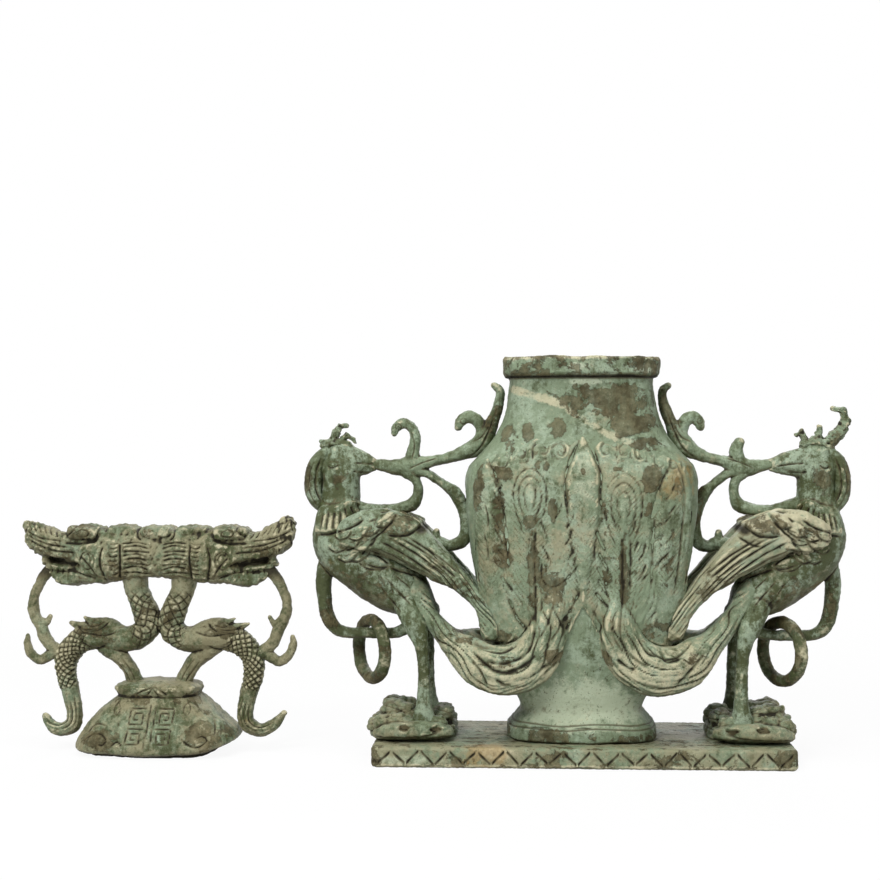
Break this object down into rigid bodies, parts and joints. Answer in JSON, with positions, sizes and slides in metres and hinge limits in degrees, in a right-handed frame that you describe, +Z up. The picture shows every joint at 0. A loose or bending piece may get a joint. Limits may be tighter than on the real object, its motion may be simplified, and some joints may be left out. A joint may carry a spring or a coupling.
{
  "type": "covered jade ritual vase",
  "caption": "Carved jade ritual vase on a plinth between phoenixes that hold sprays and loose swinging rings, with a dragon-topped cover that lifts off and stands beside it.",
  "frame": {"origin": "centre of the plinth's underside", "axes": "+X along the plinth to the viewer's right, away from the cover; +Y to the back; +Z up"},
  "size_m": [0.5826, 0.114, 0.2763],
  "materials": {
    "plinth_jade": "worn carved jade with an incised zigzag border",
    "vase_jade": "satin mottled jade with brown and cream patina",
    "bird_jade": "satin jade with dark crevices",
    "feather_jade": "grooved jade with cream calcified ridges",
    "rock_jade": "rough beige and green jade",
    "spray_jade": "satin green jade",
    "ring_jade": "smooth brownish jade",
    "cover_jade": "incised jade with brown patina",
    "dragon_jade": "scaled jade with dark crevices"
  },
  "bodies": {
    "vessel": {"plinth": "plinth_jade", "vase": "vase_jade", "rock_left": "rock_jade", "phoenix_left": "bird_jade", "ring_bar_left": "bird_jade", "nape_lock_left": "feather_jade", "crest_left": "feather_jade", "spray_left": "spray_jade", "leg_left_front": "bird_jade", "wing_left_front": "feather_jade", "tail_left_front": "feather_jade", "leg_left_back": "bird_jade", "wing_left_back": "feather_jade", "tail_left_back": "feather_jade", "rock_right": "rock_jade", "phoenix_right": "bird_jade", "ring_bar_right": "bird_jade", "nape_lock_right": "feather_jade", "crest_right": "feather_jade", "spray_right": "spray_jade", "leg_right_front": "bird_jade", "wing_right_front": "feather_jade", "tail_right_front": "feather_jade", "leg_right_back": "bird_jade", "wing_right_back": "feather_jade", "tail_right_back": "feather_jade"},
    "ring_left": {"ring_left": "ring_jade"},
    "ring_right": {"ring_right": "ring_jade"},
    "cover": {"cover": "cover_jade", "dragon_left": "dragon_jade", "dragon_right": "dragon_jade", "dragon_head_left": "dragon_jade", "dragon_head_right": "dragon_jade", "dragon_stream_left": "dragon_jade", "dragon_stream_right": "dragon_jade"}
  },
  "joints": [
    {"name": "ring_left_swing", "type": "hinge", "parent": "vessel", "child": "ring_left", "pos_m": [-0.1465, 0, 0.084], "axis": [1, 0, 0], "range_deg": [-45, 80]},
    {"name": "ring_right_swing", "type": "hinge", "parent": "vessel", "child": "ring_right", "pos_m": [0.139, 0, 0.084], "axis": [1, 0, 0], "range_deg": [-80, 25]},
    {"name": "cover_lift", "type": "slide", "parent": "vessel", "child": "cover", "axis": [0, 0, 1], "range_m": [0, 0.3]}
  ]
}
